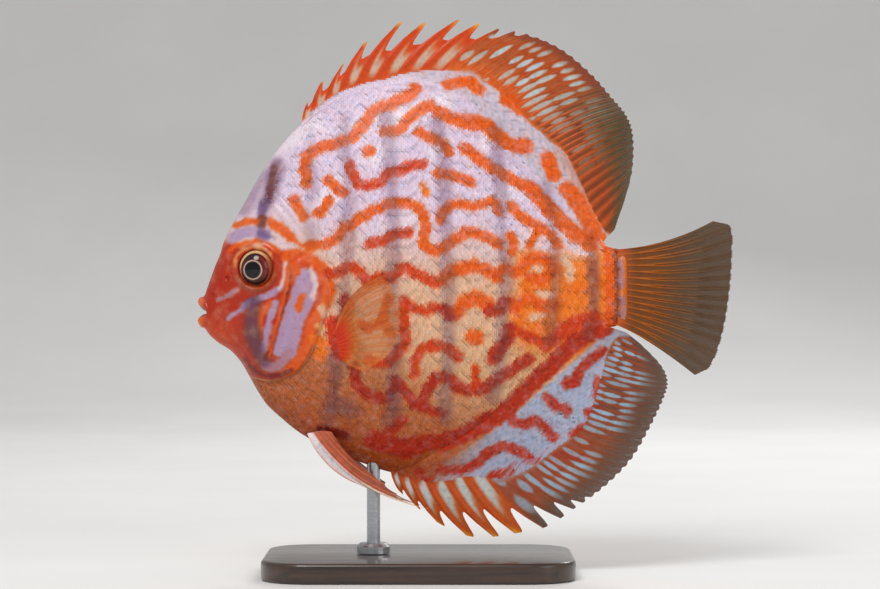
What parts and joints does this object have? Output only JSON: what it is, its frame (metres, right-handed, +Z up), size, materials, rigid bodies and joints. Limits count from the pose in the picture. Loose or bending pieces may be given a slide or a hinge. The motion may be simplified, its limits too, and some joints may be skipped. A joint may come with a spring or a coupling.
{
  "type": "discus fish",
  "caption": "Life-size still model of a discus fish with raised fins and ray ridges, held level on a rod above a flat display base.",
  "frame": {"origin": "on the floor, under the middle of the model's length and width", "axes": "+Z up; +X from the snout towards the tail; +Y from the fish's left flank towards its right flank"},
  "size_m": [0.1601, 0.06, 0.1652],
  "materials": {
    "skin": "satin",
    "fins": "satin",
    "eyes": "gloss",
    "stand_base": "satin",
    "stand_rod": "brushed"
  },
  "bodies": {
    "root": {"head": "skin", "gill_cover_left": "skin", "gill_cover_right": "skin", "torso": "skin", "tail_stalk": "skin", "eye_left": "eyes", "eye_right": "eyes", "dorsal_fin": "fins", "anal_fin": "fins", "tail_fin": "fins", "pectoral_fin_left": "fins", "pectoral_fin_right": "fins", "pelvic_fin_left": "fins", "pelvic_fin_right": "fins", "stand_base": "stand_base", "stand_rod": "stand_rod"}
  },
  "joints": []
}
